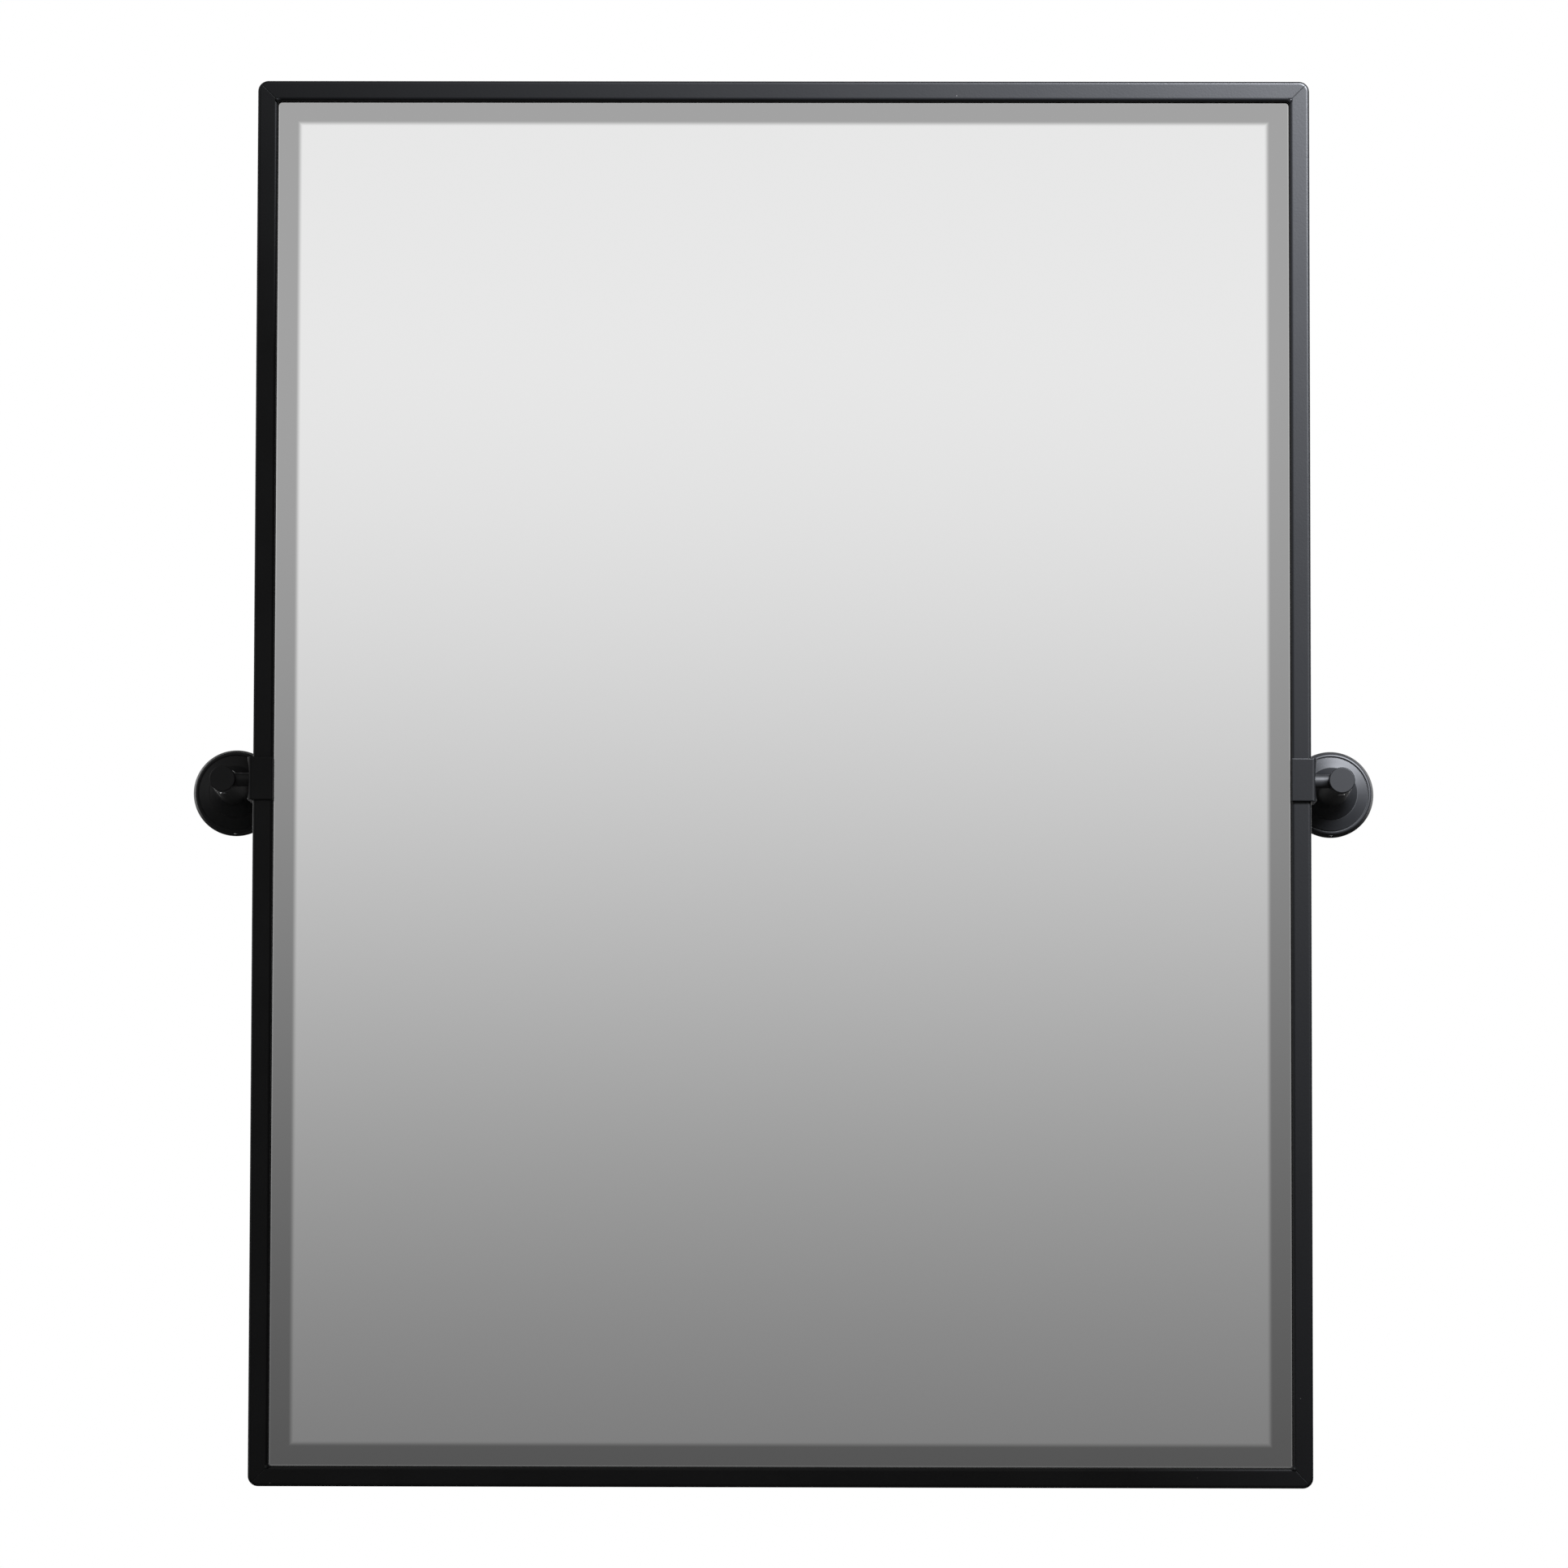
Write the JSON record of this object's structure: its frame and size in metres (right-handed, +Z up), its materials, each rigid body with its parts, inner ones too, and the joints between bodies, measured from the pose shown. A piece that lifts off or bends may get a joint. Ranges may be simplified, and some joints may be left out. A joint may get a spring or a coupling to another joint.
{
  "type": "pivot wall mirror",
  "caption": "Bevelled rectangular mirror in a slim black tube frame, hung on side arms between wall posts with round rosettes, tilting about a level mid-height axis.",
  "frame": {"origin": "on the wall plane, midway between the two posts, at the height of the pivot axis", "axes": "+X to the viewer's right along the pivot axis, +Y into the wall, +Z up"},
  "size_m": [0.6958, 0.104, 0.8128],
  "materials": {
    "black_powder_coat": "satin black powder coat on steel",
    "black_casting": "satin black coating on turned and cast metal",
    "black_steel": "satin black coated steel",
    "silvered_glass": "polished, silvered on the back, ground bevel",
    "foam_tape": "white closed-cell foam tape",
    "backing_board": "black-faced fibreboard",
    "zinc_steel": "zinc plated",
    "bumper_rubber": "matt black soft rubber",
    "bush_plastic": "black moulded nylon"
  },
  "bodies": {
    "wall_side": {"post_left": "black_casting", "post_right": "black_casting", "pivot_bush_left": "bush_plastic", "pivot_bush_right": "bush_plastic", "tension_screws": "zinc_steel", "rosette_left": "black_casting", "rosette_right": "black_casting", "post_screws": "zinc_steel", "wall_plate_left": "zinc_steel", "wall_plate_right": "zinc_steel", "set_screws": "zinc_steel"},
    "mirror": {"frame_rail_top": "black_powder_coat", "frame_rail_bottom": "black_powder_coat", "frame_stile_left": "black_powder_coat", "frame_stile_right": "black_powder_coat", "mirror_glass": "silvered_glass", "mounting_tape": "foam_tape", "backing_board": "backing_board", "board_lugs": "black_powder_coat", "board_screws": "zinc_steel", "bracket_left": "black_powder_coat", "bracket_right": "black_powder_coat", "bracket_screws": "black_steel", "pivot_arm_left": "black_steel", "pivot_arm_right": "black_steel", "arm_nuts": "zinc_steel", "bumpers": "bumper_rubber"}
  },
  "joints": [
    {"name": "mirror_tilt", "type": "hinge", "parent": "wall_side", "child": "mirror", "pos_m": [0, -0.092, 0], "axis": [1, 0, 0], "range_deg": [-11.3, 11.3]}
  ]
}
